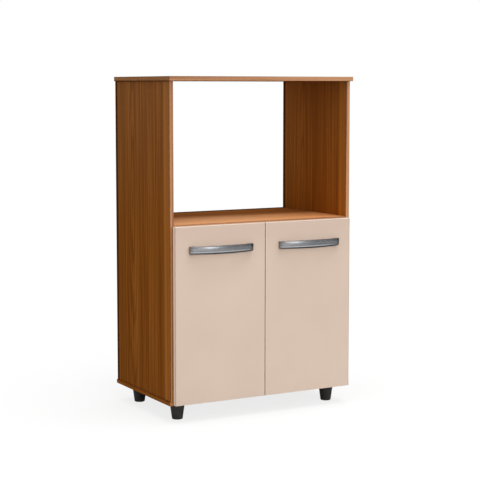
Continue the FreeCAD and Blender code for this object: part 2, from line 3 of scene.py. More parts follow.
import bpy
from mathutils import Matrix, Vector


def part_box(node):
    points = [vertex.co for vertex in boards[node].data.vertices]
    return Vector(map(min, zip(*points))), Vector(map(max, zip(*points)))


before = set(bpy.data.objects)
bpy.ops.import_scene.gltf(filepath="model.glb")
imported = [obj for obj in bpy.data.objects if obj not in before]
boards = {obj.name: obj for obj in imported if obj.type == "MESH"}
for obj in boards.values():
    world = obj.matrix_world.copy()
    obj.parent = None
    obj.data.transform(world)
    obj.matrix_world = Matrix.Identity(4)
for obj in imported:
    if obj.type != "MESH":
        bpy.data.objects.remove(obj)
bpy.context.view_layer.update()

# Looks of the microwave cabinet: finishes for every board, door and fitting, then the studio around it.
# Metres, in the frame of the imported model: +Z is up and the doors face -Y.

# Paint chart, written as display values from 0 to 255
wood_light = (168, 103, 44)
wood_mid = (151, 88, 33)
wood_dark = (132, 74, 25)
wood_line = (110, 62, 24)
wood_strip = (190, 121, 58)
wood_joint = (134, 85, 34)
wood_glint = (206, 134, 64)
# painted sheen: a pale haze over the side boards' print high up
wood_painted_sheen = (156, 131, 108)
# painted light: the side boards' outer and inner faces get tints of their own, as lit and shaded copies of
# one print
outside_painted_light_tint = (244, 243, 236)
inside_painted_light_tint = (255, 247, 205)
inside_painted_light_back = (196, 132, 84)
# painted light: a lit copy of the print for the microwave shelf, and its painted shade to the right
shelf_painted_lit_light = (242, 184, 135)
shelf_painted_lit_mid = (234, 170, 118)
shelf_painted_lit_dark = (218, 148, 93)
shelf_painted_lit_line = (176, 114, 66)
shelf_painted_shade_right = (214, 131, 60)
# painted shade along the arrises of boards and bands
arris_painted_shade = (84, 44, 20)
# dark back edge: partly a dark raw edge, partly painted shade
back_edge_dark_and_shade = (58, 26, 12)
band_light = (190, 140, 101)
band_mid = (176, 126, 89)
band_dark = (154, 105, 70)
# painted shade on the bands beside the doors
band_painted_door_shade = (255, 238, 198)
end_light = (178, 129, 90)
end_mid = (165, 116, 78)
end_dark = (142, 95, 60)
chip_light = (212, 174, 128)
chip_dark = (156, 112, 74)
hardboard_light = (160, 118, 80)
hardboard_dark = (120, 82, 52)
door_beige = (213, 192, 176)
door_beige_deep = (209, 188, 172)
# painted shade near the top of the doors
door_painted_shade_top = (202, 179, 165)
# painted light on the doors' outer edges
door_outer_edge_painted_light = (252, 232, 214)
door_seam = (156, 127, 106)
# painted shade in the gap between the doors
door_gap_painted_shade = (132, 104, 84)
# painted highlight on the doors' arrises and top edge
door_painted_highlight = (240, 224, 210)
silver_bright = (186, 188, 190)
silver_deep = (168, 170, 173)
# painted shade on the handles' underside, ends and upper arris
silver_painted_shade = (66, 64, 62)
foot_black = (46, 45, 44)
foot_black_worn = (63, 61, 59)
cap_brown = (112, 64, 30)
cap_brown_deep = (88, 48, 22)
pad_clear = (214, 210, 200)
pad_clear_deep = (186, 182, 172)
beech_light = (214, 178, 132)
beech_dark = (180, 138, 92)
zinc_bright = (200, 201, 200)
zinc_deep = (170, 172, 172)
nickel_bright = (214, 212, 206)
nickel_deep = (192, 190, 185)
studio_white = (255, 255, 255)


def paint(rgb):
    """Display colour as the linear colour that a socket takes."""
    linear = []
    for part in rgb:
        share = part / 255
        linear.append(share / 12.92 if share <= 0.04045 else ((share + 0.055) / 1.055) ** 2.4)
    return (*linear, 1.0)


# Small helpers that place and join shader nodes


def place(tree, kind, settings=None, inputs=None):
    """New node with its settings, and its inputs set or wired."""
    node = tree.nodes.new(kind)
    for name, value in (settings or {}).items():
        setattr(node, name, value)
    for name, value in (inputs or {}).items():
        if isinstance(value, bpy.types.NodeSocket):
            tree.links.new(value, node.inputs[name])
        else:
            node.inputs[name].default_value = value
    return node


def sums(tree, operation, first, second=0.0, third=None):
    """Result of a sum, product or comparison."""
    inputs = {0: first, 1: second}
    if third is not None:
        inputs[2] = third
    return place(tree, "ShaderNodeMath", {"operation": operation}, inputs).outputs[0]


def vectors(tree, operation, first, second=None):
    """Result of a step on whole coordinates, which is a plain value for a length."""
    inputs = {0: first}
    if second is not None:
        inputs[1] = second
    outputs = place(tree, "ShaderNodeVectorMath", {"operation": operation}, inputs).outputs
    return outputs["Value" if operation == "LENGTH" else "Vector"]


def apart(tree, vector):
    """The X, Y and Z of coordinates."""
    return place(tree, "ShaderNodeSeparateXYZ", {}, {0: vector}).outputs


def spread(tree, value, low, high, to_low=0.0, to_high=1.0):
    """Value stretched from one range to another, and held there."""
    inputs = {"Value": value, "From Min": low, "From Max": high, "To Min": to_low, "To Max": to_high}
    return place(tree, "ShaderNodeMapRange", {"clamp": True}, inputs).outputs["Result"]


def speckle(tree, vector, scale=1.0, detail=2.0, roughness=0.5):
    """Soft noise from 0 to 1."""
    inputs = {"Vector": vector, "Scale": scale, "Detail": detail, "Roughness": roughness}
    return place(tree, "ShaderNodeTexNoise", {}, inputs).outputs["Fac"]


def blended(tree, share, first, second, how="MIX"):
    """Two colours mixed."""
    settings = {"data_type": "RGBA", "blend_type": how}
    return place(tree, "ShaderNodeMix", settings, {0: share, 6: first, 7: second}).outputs[2]


def new_group(name, inputs, outputs):
    """Empty shader group with named sockets."""
    tree = bpy.data.node_groups.new(name, "ShaderNodeTree")
    for label, kind, value in inputs:
        socket = tree.interface.new_socket(label, in_out="INPUT", socket_type="NodeSocket" + kind)
        socket.default_value = value
    for label, kind in outputs:
        tree.interface.new_socket(label, in_out="OUTPUT", socket_type="NodeSocket" + kind)
    start = tree.nodes.new("NodeGroupInput")
    end = tree.nodes.new("NodeGroupOutput")
    return tree, start.outputs, end


def finish_group(tree, end, results):
    """Wires the results to the group's outputs."""
    for label, value in results.items():
        tree.links.new(value, end.inputs[label])
    return tree


# Shared effects

# wood print: changes per metre along X, Y and Z, and how much each kind of streak counts
broad_streaks = (22.0, 22.0, 0.7)
narrow_streaks = (170.0, 170.0, 1.6)
fine_fibres = (900.0, 900.0, 12.0)
broad_share = 0.26
narrow_share = 0.74
# noise at which the print is dark, middling and light
dark_tone = 0.42
mid_tone = 0.50
light_tone = 0.59
# long arches: their heart on upright and on level boards, their stretch along the grain, their waves, and the
# distances from the heart between which they fade
upright_heart = (0.0, 0.085, 0.62)
level_heart = (0.0, -0.02, -0.12)
arch_oval = (0.0, 1.0, 0.085)
arch_waves = {"Scale": 21.0, "Distortion": 3.2, "Detail": 2.0, "Detail Scale": 1.1, "Detail Roughness": 0.55}
arch_fading = (0.03, 0.12)
dark_arches = (0.22, 0.0)
pale_arches = (0.80, 1.0)
# how strong the arches are
board_figure = 0.5
shelf_figure = 0.35
dowel_figure = 0.3
# pores: noise at which they are open and closed, how dark they print, and the streaks' part of the relief
pore_levels = (0.34, 0.47)
pore_print = 0.14
streak_relief = 0.3
# arrises: changes of their width per metre, how far it swings, and how softly a back edge ends
arris_changes = (90.0, 90.0, 90.0)
arris_swing = 1.6
back_edge_fade = 1.4
# noise between which clouds and brush lines go from none to full
cloud_levels = (0.32, 0.68)
brush_levels = (0.30, 0.70)
metal_cloud_scale = 26.0


def make_wood_grain():
    """Printed wood grain that runs along Z: broad streaks, long arches round a heart and fine fibres."""
    tree, given, end = new_group(
        "wood_grain",
        [
            ("Vector", "Vector", (0.0, 0.0, 0.0)),
            ("Light", "Color", paint(wood_light)),
            ("Mid", "Color", paint(wood_mid)),
            ("Dark", "Color", paint(wood_dark)),
            ("Line", "Color", paint(wood_line)),
            ("Heart", "Vector", upright_heart),
            ("Figure", "Float", board_figure),
        ],
        [("Colour", "Color"), ("Pores", "Float"), ("Height", "Float")],
    )
    vector = given["Vector"]
    broad = speckle(tree, vectors(tree, "MULTIPLY", vector, broad_streaks), detail=3.0, roughness=0.55)
    narrow = speckle(tree, vectors(tree, "MULTIPLY", vector, narrow_streaks), detail=3.0, roughness=0.6)
    fibre = speckle(tree, vectors(tree, "MULTIPLY", vector, fine_fibres), detail=2.0, roughness=0.6)
    tone = sums(tree, "MULTIPLY_ADD", broad, broad_share, sums(tree, "MULTIPLY", narrow, narrow_share))
    colour = blended(tree, spread(tree, tone, dark_tone, mid_tone, 1.0, 0.0), given["Mid"], given["Dark"])
    colour = blended(tree, spread(tree, tone, mid_tone, light_tone), colour, given["Light"])
    # long arches round the heart, which fade away from it
    oval = vectors(tree, "MULTIPLY", vectors(tree, "SUBTRACT", vector, given["Heart"]), arch_oval)
    arches = place(
        tree, "ShaderNodeTexWave",
        {"wave_type": "RINGS", "rings_direction": "X", "wave_profile": "SIN"},
        {"Vector": oval, **arch_waves},
    ).outputs["Fac"]
    fading = spread(tree, vectors(tree, "LENGTH", oval), *arch_fading, 1.0, 0.0)
    figure = sums(tree, "MULTIPLY", fading, given["Figure"])
    dark_arch = sums(tree, "MULTIPLY", spread(tree, arches, *dark_arches), figure)
    pale_arch = sums(tree, "MULTIPLY", spread(tree, arches, *pale_arches), figure)
    colour = blended(tree, dark_arch, colour, given["Line"])
    colour = blended(tree, pale_arch, colour, given["Light"])
    pores = spread(tree, fibre, *pore_levels, 1.0, 0.0)
    colour = blended(tree, sums(tree, "MULTIPLY", pores, pore_print), colour, given["Line"])
    height = sums(tree, "SUBTRACT", sums(tree, "MULTIPLY", narrow, streak_relief), pores)
    return finish_group(tree, end, {"Colour": colour, "Pores": pores, "Height": height})


def make_board_rim():
    """Masks of a board's arrises and of its back edge, 1 on the edge itself."""
    tree, given, end = new_group(
        "board_rim",
        [
            ("Vector", "Vector", (0.0, 0.0, 0.0)),
            ("Middle", "Vector", (0.0, 0.0, 0.0)),
            ("Half Size", "Vector", (1.0, 1.0, 1.0)),
            ("Width", "Float", 0.0),
        ],
        [("Mask", "Float"), ("Back Mask", "Float")],
    )
    # how far each point lies inside the board's planes: near an arris, the second smallest is small too
    from_middle = vectors(tree, "SUBTRACT", given["Vector"], given["Middle"])
    depth = vectors(tree, "SUBTRACT", given["Half Size"], vectors(tree, "ABSOLUTE", from_middle))
    x, y, z = apart(tree, depth)
    lesser = sums(tree, "MINIMUM", x, y)
    greater = sums(tree, "MAXIMUM", x, y)
    second = sums(tree, "MAXIMUM", lesser, sums(tree, "MINIMUM", greater, z))
    ragged = speckle(tree, vectors(tree, "MULTIPLY", given["Vector"], arris_changes))
    reach = sums(tree, "MULTIPLY", given["Width"], sums(tree, "MULTIPLY", ragged, arris_swing))
    mask = place(tree, "ShaderNodeMapRange", {"clamp": True, "interpolation_type": "SMOOTHSTEP"},
                 {"Value": second, "From Min": 0.0, "From Max": reach, "To Min": 1.0, "To Max": 0.0})
    near_back = spread(tree, y, sums(tree, "MULTIPLY", given["Width"], back_edge_fade), given["Width"])
    behind = sums(tree, "GREATER_THAN", apart(tree, from_middle)["Y"], 0.0)
    back = sums(tree, "MULTIPLY", near_back, behind)
    return finish_group(tree, end, {"Mask": mask.outputs["Result"], "Back Mask": back})


def make_mottle():
    """Faint cloudy change of tone with a fine surface texture."""
    tree, given, end = new_group(
        "mottle",
        [
            ("Vector", "Vector", (0.0, 0.0, 0.0)),
            ("Cloud Scale", "Float", 1.0),
            ("Texture Scale", "Float", 1.0),
        ],
        [("Cloud", "Float"), ("Texture", "Float")],
    )
    cloud = speckle(tree, given["Vector"], given["Cloud Scale"], detail=3.0, roughness=0.55)
    texture = speckle(tree, given["Vector"], given["Texture Scale"], detail=2.0, roughness=0.55)
    return finish_group(tree, end, {"Cloud": spread(tree, cloud, *cloud_levels), "Texture": texture})


def make_brushing():
    """Fine brush lines on metal, with a slow change of tone."""
    tree, given, end = new_group(
        "brushing",
        [
            ("Vector", "Vector", (0.0, 0.0, 0.0)),
            ("Along", "Vector", (1.0, 1.0, 1.0)),
        ],
        [("Lines", "Float"), ("Cloud", "Float")],
    )
    drawn = vectors(tree, "MULTIPLY", given["Vector"], given["Along"])
    lines = spread(tree, speckle(tree, drawn, detail=2.0, roughness=0.6), *brush_levels)
    cloud = spread(tree, speckle(tree, given["Vector"], metal_cloud_scale), *brush_levels)
    return finish_group(tree, end, {"Lines": lines, "Cloud": cloud})


wood_grain = make_wood_grain()
board_rim = make_board_rim()
mottle = make_mottle()
brushing = make_brushing()


# Materials

band_tones = (band_light, band_mid, band_dark)
end_tones = (end_light, end_mid, end_dark)
wood_tones = (wood_light, wood_mid, wood_dark)
# where a plank joint crosses a side board, half its width, and how dark it is
plank_joints = ((-0.120, 0.006, 0.6), (0.158, 0.010, 1.0))
# the same for the bright line in the strip in front of the front joint
strip_line = (-0.136, 0.009, 0.4)
# how far in front of its joint the strip is full, and how much of the grain it covers
strip_fade = 0.010
strip_share = 0.5
# painted light on the microwave shelf: its front plank is pale up to these depths, which come forward to the
# right, with painted shadow behind and painted shade, warmer, to the right
shelf_painted_shadow_depths = (-0.015, 0.065)
shelf_painted_shadow_slant = 0.08
shelf_painted_shadow_share = 0.85
shelf_painted_shade_right_span = (0.0, 0.28)
shelf_painted_shade_right_share = 0.5
# heights of the side boards' painted sheen and inside painted light, and of the doors' painted shade near the
# top
side_painted_light_heights = (0.55, 0.98)
side_painted_sheen_share = 0.14
door_painted_shade_heights = (0.47, 0.56)
door_painted_shade_share = 0.6
# depths between which painted light makes the inner faces of the side boards paler, and by how much low down
# and high up
inside_painted_light_depths = (0.02, 0.17)
inside_painted_light_shares = (0.05, 0.36)
# width of the arrises and how much they differ from the face: painted shade on boards and bands, painted
# highlight on doors
board_arris_shade = (0.0045, 0.75)
band_arris_shade = (0.0025, 0.5)
door_arris_highlight = (0.0035, 0.5)
# width of the dark line along the back edge of the sides and of the microwave shelf, and how dark it is; it
# is partly a dark raw edge and partly painted shade
side_back_line = 0.012
shelf_back_line = 0.023
back_line_share = 0.9
# the bands carry painted shade, warmer, below the doors' top, and a seam runs this near to each door's outer
# front arris
door_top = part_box("left_door")[1][2]
door_seam_reach = (0.0027, 0.0013)
door_seam_share = 0.7
chip_sizes = (260.0, 260.0, 520.0)
# the painted shade on the handles: the part of the normal at which it starts and is full, and its strength at
# both
handle_under = (-0.46, -0.52, 0.0, 0.92)
handle_crown = (0.30, 0.40, 0.0, 0.65)
handle_left_end = (-0.36, -0.54, 0.0, 0.4)
handle_right_end = (0.26, 0.50, 0.0, 0.92)
# how much of a normal has to point along an axis to count as facing it
facing_limit = 0.8
# roughness of the faces and of the pores or rough spots in them
laminate_roughness = (0.48, 0.62)
band_roughness = (0.38, 0.52)
dowel_roughness = (0.55, 0.7)
door_roughness = (0.36, 0.46)
hardboard_roughness = (0.55, 0.75)
# noise between which the roughness changes, and by how much on metal and plastic
texture_levels = (0.3, 0.7)
metal_swing = 0.05
plastic_swing = 0.06
# how much the clouds and the fine fibres count in the hardboard's tone
hardboard_cloud_share = 0.3
hardboard_fibre_share = 0.7
# depth of the fine relief
laminate_relief = 0.00006
band_relief = 0.00004
door_relief = 0.00003
plastic_relief = 0.00008
hardboard_relief = 0.00012


def new_finish(name, settings):
    """Material with one Principled shader, whose plain sockets are set here."""
    material = bpy.data.materials.new(name)
    material.use_nodes = True
    tree = material.node_tree
    shader = tree.nodes["Principled BSDF"]
    for label, value in settings.items():
        shader.inputs[label].default_value = value
    return material, tree, shader


def coordinates(tree):
    """The piece's own coordinates and own normal."""
    node = place(tree, "ShaderNodeTexCoord")
    return node.outputs["Object"], node.outputs["Normal"]


def use_group(tree, group, inputs):
    """Places a shared effect."""
    return place(tree, "ShaderNodeGroup", {"node_tree": group}, inputs).outputs


def finish_shader(tree, shader, colour, roughness, height, relief):
    """Wires colour and roughness to the shader, and a fine relief to its normal."""
    bump = place(tree, "ShaderNodeBump", {}, {"Height": height, "Distance": relief, "Strength": 1.0})
    tree.links.new(colour, shader.inputs["Base Color"])
    tree.links.new(roughness, shader.inputs["Roughness"])
    tree.links.new(bump.outputs["Normal"], shader.inputs["Normal"])


def facing(tree, normal, axis, way=0):
    """1 where the piece's own normal points along an axis: forwards, backwards or, without a way, either."""
    part = apart(tree, normal)[axis]
    turned = sums(tree, "MULTIPLY", part, float(way)) if way else sums(tree, "ABSOLUTE", part)
    return sums(tree, "GREATER_THAN", turned, facing_limit)


def along_board(tree, vector, run):
    """Coordinates turned so that the board's run lies along Z."""
    if run == "Z":
        return vector
    x, y, z = apart(tree, vector)
    order = {"X": (z, y, x), "Y": (x, z, y)}[run]
    return place(tree, "ShaderNodeCombineXYZ", {}, dict(enumerate(order))).outputs[0]


def middle_and_half(node):
    """Middle and half size of a board."""
    low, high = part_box(node)
    return tuple((low + high) / 2), tuple((high - low) / 2)


def rim_masks(tree, vector, node, width):
    """Masks of a board's arrises and of its back edge."""
    middle, half = middle_and_half(node)
    return use_group(tree, board_rim, {"Vector": vector, "Middle": middle, "Half Size": half, "Width": width})


def wood_print(tree, vector, run, tones, line, figure, heart=upright_heart):
    """Wood grain along a board in three tones, with the colour of its fine lines."""
    light, mid, dark = (paint(tone) for tone in tones)
    colours = {"Light": light, "Mid": mid, "Dark": dark, "Line": paint(line)}
    turned = along_board(tree, vector, run)
    return use_group(tree, wood_grain, {"Vector": turned, "Heart": heart, "Figure": figure, **colours})


def printed_line(tree, across, colour, line, tone):
    """One soft line along a side board: where it is, half its width and how strong it is."""
    middle, half_width, strength = line
    gap = sums(tree, "ABSOLUTE", sums(tree, "SUBTRACT", across, middle))
    return blended(tree, spread(tree, gap, half_width, 0.0, 0.0, strength), colour, paint(tone))


def plank_lines(tree, across, colour):
    """Two dark joints on a side board, and a paler strip with a bright line in front of the front one."""
    for joint in plank_joints:
        colour = printed_line(tree, across, colour, joint, wood_joint)
    front_joint = plank_joints[0][0]
    strip = spread(tree, across, front_joint, front_joint - strip_fade, 0.0, strip_share)
    colour = blended(tree, strip, colour, paint(wood_strip))
    return printed_line(tree, across, colour, strip_line, wood_glint)


def side_print_and_painted_sheen(tree, vector):
    """Upright print of the side boards: the grain's outputs and its colour with the plank joints and a
    painted sheen high up.
    """
    grain = wood_print(tree, vector, "Z", wood_tones, wood_line, board_figure)
    _, across, up = apart(tree, vector)
    # painted sheen that makes the print paler and hazier high up
    painted_sheen = spread(tree, up, *side_painted_light_heights, 0.0, side_painted_sheen_share)
    return grain, blended(tree, painted_sheen, plank_lines(tree, across, grain["Colour"]), paint(wood_painted_sheen))


def level_print(tree, vector):
    """Print of the top, the bottom and the inner shelf, along the board."""
    grain = wood_print(tree, vector, "X", wood_tones, wood_line, board_figure, level_heart)
    return grain, grain["Colour"]


def shelf_painted_light_print(tree, vector):
    """Print of the microwave shelf in lit tones: painted light on the front plank, painted shadow behind it,
    painted shade to the right.
    """
    painted_lit_shelf_tones = (shelf_painted_lit_light, shelf_painted_lit_mid, shelf_painted_lit_dark)
    grain = wood_print(tree, vector, "X", painted_lit_shelf_tones, shelf_painted_lit_line, shelf_figure, level_heart)
    along, across, _ = apart(tree, vector)
    # painted shade: warmer towards the right
    to_right = spread(tree, along, *shelf_painted_shade_right_span, 0.0, shelf_painted_shade_right_share)
    colour = blended(tree, to_right, grain["Colour"], paint(shelf_painted_shade_right))
    # painted shadow behind the pale front plank
    slanted = sums(tree, "MULTIPLY_ADD", along, shelf_painted_shadow_slant, across)
    behind = spread(tree, slanted, *shelf_painted_shadow_depths, 0.0, shelf_painted_shadow_share)
    return grain, blended(tree, behind, colour, paint(wood_mid))


def two_faces_painted_light(tree, vector, normal, colour, outer):
    """Painted light on a side board: a cooler, darker tint outside, a warmer one inside and painted light
    there towards the back.
    """
    _, across, up = apart(tree, vector)
    high_up = spread(tree, up, *side_painted_light_heights, *inside_painted_light_shares)
    painted_paling = sums(tree, "MULTIPLY", spread(tree, across, *inside_painted_light_depths), high_up)
    inside = blended(tree, painted_paling, colour, paint(inside_painted_light_back))
    inside = blended(tree, 1.0, inside, paint(inside_painted_light_tint), "MULTIPLY")
    outside = blended(tree, 1.0, colour, paint(outside_painted_light_tint), "MULTIPLY")
    return blended(tree, facing(tree, normal, "X", outer), inside, outside)


def raw_chips(tree, vector):
    """Colour of bare particle board."""
    spots = vectors(tree, "MULTIPLY", vector, chip_sizes)
    chips = place(tree, "ShaderNodeTexVoronoi", {}, {"Vector": spots, "Scale": 1.0}).outputs["Color"]
    tone = place(tree, "ShaderNodeSeparateColor", {}, {0: chips}).outputs[0]
    return blended(tree, tone, paint(chip_dark), paint(chip_light))


def laminate(name, node, board_print, banded="", tones=band_tones, back_line=0.0, outer=0):
    """Printed laminate on particle board: raw chips behind, and bands on the edges that face an axis."""
    material, tree, shader = new_finish(name, {"Specular IOR Level": 0.0})
    vector, normal = coordinates(tree)
    grain, colour = board_print(tree, vector)
    if outer:
        colour = two_faces_painted_light(tree, vector, normal, colour, outer)
    if banded:
        run = {"X": "Y", "Y": "X"}[banded]
        band = wood_print(tree, vector, run, tones, tones[2], 0.0)
        colour = blended(tree, facing(tree, normal, banded), colour, band["Colour"])
    width, strength = board_arris_shade
    arris = rim_masks(tree, vector, node, width)
    # painted shade along the board's arrises
    colour = blended(tree, sums(tree, "MULTIPLY", arris["Mask"], strength), colour, paint(arris_painted_shade))
    # dark line along the back edge: partly a dark raw edge, partly painted shade
    if back_line:
        rear = rim_masks(tree, vector, node, back_line)
        rear_share = sums(tree, "MULTIPLY", rear["Back Mask"], back_line_share)
        colour = blended(tree, rear_share, colour, paint(back_edge_dark_and_shade))
    colour = blended(tree, facing(tree, normal, "Y", 1), colour, raw_chips(tree, vector))
    roughness = spread(tree, grain["Pores"], 0.0, 1.0, *laminate_roughness)
    finish_shader(tree, shader, colour, roughness, grain["Height"], laminate_relief)
    return material


def edge_band(name, node, run):
    """Lighter printed band on a front edge, with painted shade along its trimmed arrises and, warmer, beside
    the doors.
    """
    material, tree, shader = new_finish(name, {"Specular IOR Level": 0.2})
    vector, _ = coordinates(tree)
    grain = wood_print(tree, vector, run, band_tones, band_dark, 0.0)
    width, strength = band_arris_shade
    rim = rim_masks(tree, vector, node, width)
    # painted shade along the band's arrises
    colour = blended(tree, sums(tree, "MULTIPLY", rim["Mask"], strength), grain["Colour"], paint(arris_painted_shade))
    # painted shade where the doors shade the bands
    in_door_shade = sums(tree, "LESS_THAN", apart(tree, vector)["Z"], door_top)
    colour = blended(tree, in_door_shade, colour, paint(band_painted_door_shade), "MULTIPLY")
    roughness = spread(tree, grain["Pores"], 0.0, 1.0, *band_roughness)
    finish_shader(tree, shader, colour, roughness, grain["Height"], band_relief)
    return material


def outer_seam(tree, vector, node, outer):
    """Mask of the thin seam on a door's outer front arris."""
    middle, half = middle_and_half(node)
    across, ahead, _ = apart(tree, vector)
    from_side = sums(tree, "ABSOLUTE", sums(tree, "SUBTRACT", across, middle[0] + outer * half[0]))
    from_front = sums(tree, "SUBTRACT", ahead, middle[1] - half[1])
    near_side = spread(tree, from_side, *door_seam_reach, 0.0, door_seam_share)
    return sums(tree, "MULTIPLY", near_side, spread(tree, from_front, *door_seam_reach))


def door_foil(name, node, outer):
    """Satin beige foil: painted highlight on the arrises and top, painted light on the outer edge, painted
    shade in the gap between the doors and near the top, with a seam outside.
    """
    material, tree, shader = new_finish(name, {"Specular IOR Level": 0.12})
    vector, normal = coordinates(tree)
    cloth = use_group(tree, mottle, {"Vector": vector, "Cloud Scale": 5.0, "Texture Scale": 700.0})
    width, strength = door_arris_highlight
    rim = rim_masks(tree, vector, node, width)
    # painted shade: the foil grows darker near the doors' top
    top_shade = spread(tree, apart(tree, vector)["Z"], *door_painted_shade_heights, 0.0, door_painted_shade_share)
    colour = blended(tree, cloth["Cloud"], paint(door_beige_deep), paint(door_beige))
    # painted highlight on the arrises and top face, painted light on the outer edge, painted shade in the gap
    for share, tone in (
        (top_shade, door_painted_shade_top),
        (sums(tree, "MULTIPLY", rim["Mask"], strength), door_painted_highlight),
        (facing(tree, normal, "Z", 1), door_painted_highlight),
        (facing(tree, normal, "X", outer), door_outer_edge_painted_light),
        (facing(tree, normal, "X", -outer), door_gap_painted_shade),
        (outer_seam(tree, vector, node, outer), door_seam),
    ):
        colour = blended(tree, share, colour, paint(tone))
    roughness = spread(tree, cloth["Texture"], *texture_levels, *door_roughness)
    finish_shader(tree, shader, colour, roughness, cloth["Texture"], door_relief)
    return material


def handle_painted_shade(tree, vector, normal, colour):
    """Painted shade on the underside, the ends and the upper arris of the handles."""
    sideways, _, upwards = apart(tree, normal)
    above = sums(tree, "GREATER_THAN", apart(tree, vector)["Z"], middle_and_half("left_door_handle")[0][2])
    crown = sums(tree, "MULTIPLY", above, spread(tree, upwards, *handle_crown))
    shade = sums(tree, "MAXIMUM", spread(tree, upwards, *handle_under), crown)
    for end in (handle_left_end, handle_right_end):
        shade = sums(tree, "MAXIMUM", shade, spread(tree, sideways, *end))
    return blended(tree, shade, colour, paint(silver_painted_shade))


def metal(name, bright, deep, along, roughness, metallic, relief, shading=None):
    """Metal with fine drawn lines, and a painted shade of its own where one is given."""
    material, tree, shader = new_finish(name, {"Metallic": metallic})
    vector, normal = coordinates(tree)
    drawn = use_group(tree, brushing, {"Vector": vector, "Along": along})
    tone = sums(tree, "MULTIPLY", sums(tree, "ADD", drawn["Lines"], drawn["Cloud"]), 0.5)
    colour = blended(tree, tone, paint(deep), paint(bright))
    if shading:
        colour = shading(tree, vector, normal, colour)
    sheen = spread(tree, drawn["Lines"], 0.0, 1.0, roughness + metal_swing, roughness - metal_swing)
    finish_shader(tree, shader, colour, sheen, drawn["Lines"], relief)
    return material


def moulded(name, main, worn, cloud_scale, texture_scale, roughness, specular):
    """Moulded plastic with a fine textured skin."""
    material, tree, shader = new_finish(name, {"Specular IOR Level": specular})
    vector, _ = coordinates(tree)
    scales = {"Cloud Scale": cloud_scale, "Texture Scale": texture_scale}
    skin = use_group(tree, mottle, {"Vector": vector, **scales})
    colour = blended(tree, skin["Cloud"], paint(main), paint(worn))
    limits = (roughness - plastic_swing, roughness + plastic_swing)
    sheen = spread(tree, skin["Texture"], *texture_levels, *limits)
    finish_shader(tree, shader, colour, sheen, skin["Texture"], plastic_relief)
    return material


def hardboard():
    """Brown pressed fibre sheet."""
    material, tree, shader = new_finish("hardboard", {"Specular IOR Level": 0.2})
    vector, _ = coordinates(tree)
    fibre = use_group(tree, mottle, {"Vector": vector, "Cloud Scale": 24.0, "Texture Scale": 420.0})
    fine_tone = sums(tree, "MULTIPLY", fibre["Texture"], hardboard_fibre_share)
    tone = sums(tree, "MULTIPLY_ADD", fibre["Cloud"], hardboard_cloud_share, fine_tone)
    colour = blended(tree, tone, paint(hardboard_dark), paint(hardboard_light))
    roughness = spread(tree, fibre["Texture"], *texture_levels, *hardboard_roughness)
    finish_shader(tree, shader, colour, roughness, fibre["Texture"], hardboard_relief)
    return material


def dowel_wood():
    """Beech with grain along the dowel."""
    material, tree, shader = new_finish("dowel_beech", {"Specular IOR Level": 0.2})
    vector, _ = coordinates(tree)
    beech_tones = (beech_light, beech_light, beech_dark)
    grain = wood_print(tree, vector, "Z", beech_tones, beech_dark, dowel_figure)
    roughness = spread(tree, grain["Pores"], 0.0, 1.0, *dowel_roughness)
    finish_shader(tree, shader, grain["Colour"], roughness, grain["Height"], laminate_relief)
    return material


def dress(node, material):
    """Gives a CAD node its finish."""
    slots = boards[node].data.materials
    slots.clear()
    slots.append(material)


for side, outer in (("left", -1), ("right", 1)):
    panel, band, door = (side + "_" + part for part in ("side_panel", "side_edge_band", "door"))
    dress(panel, laminate(side + "_side_laminate", panel, side_print_and_painted_sheen, back_line=side_back_line, outer=outer))
    dress(band, edge_band(side + "_side_band", band, "Z"))
    dress(door, door_foil(side + "_door_foil", door, outer))
for name, board_print, banded, tones, back_line in (
    ("top_panel", level_print, "X", end_tones, 0.0),
    ("bottom_panel", level_print, "X", wood_tones, 0.0),
    ("microwave_shelf", shelf_painted_light_print, "", band_tones, shelf_back_line),
    ("inner_shelf", level_print, "Y", band_tones, 0.0),
):
    dress(name, laminate(name + "_laminate", name, board_print, banded, tones, back_line))
for name in ("top", "bottom", "shelf"):
    dress(name + "_edge_band", edge_band(name + "_band", name + "_edge_band", "X"))
dress("back_panel", hardboard())
dress("wood_dowels", dowel_wood())

handle_silver = metal("handle_silver", silver_bright, silver_deep, along=(18.0, 1500.0, 1500.0),
                      roughness=0.25, metallic=1.0, relief=0.000006, shading=handle_painted_shade)
nickel = metal("hinge_nickel", nickel_bright, nickel_deep, along=(900.0, 30.0, 900.0),
               roughness=0.34, metallic=0.5, relief=0.000004)
zinc = metal("screw_zinc", zinc_bright, zinc_deep, along=(600.0, 600.0, 60.0),
             roughness=0.38, metallic=0.5, relief=0.000004)
foot_plastic = moulded("foot_plastic", foot_black, foot_black_worn, cloud_scale=30.0, texture_scale=1600.0,
                       roughness=0.50, specular=0.35)
cap_plastic = moulded("cap_plastic", cap_brown, cap_brown_deep, cloud_scale=200.0, texture_scale=1600.0,
                      roughness=0.45, specular=0.3)
pad_plastic = moulded("pad_plastic", pad_clear, pad_clear_deep, cloud_scale=220.0, texture_scale=1600.0,
                      roughness=0.35, specular=0.4)
for node in boards:
    if node.endswith("_foot"):
        dress(node, foot_plastic)
    elif node.endswith("_handle"):
        dress(node, handle_silver)
    elif "_hinge_" in node and not node.endswith("screws"):
        dress(node, nickel)
    elif node.endswith(("screws", "nails", "bolts", "discs", "pins")):
        dress(node, zinc)
dress("top_screw_caps", cap_plastic)
dress("door_bumpers", pad_plastic)


# Studio: floor, surroundings, lamps and camera

floor_half = 9.0
floor_drop = 0.0004
floor_bounce = (164, 162, 159)
floor_pale = (240, 240, 240)
# distance from the middle where the floor starts to fade to white and where it is white
floor_fade_seen = (0.5, 1.6)
floor_fade_mirrored = (1.0, 3.5)
floor_white_near = 0.8
# the floor in reflections, which fades to the right, and how white it still grows there
floor_mirrored = (180, 180, 181)
floor_mirrored_right = (136, 136, 137)
floor_fade_right = (0.1, 0.9)
floor_white_right = 0.2
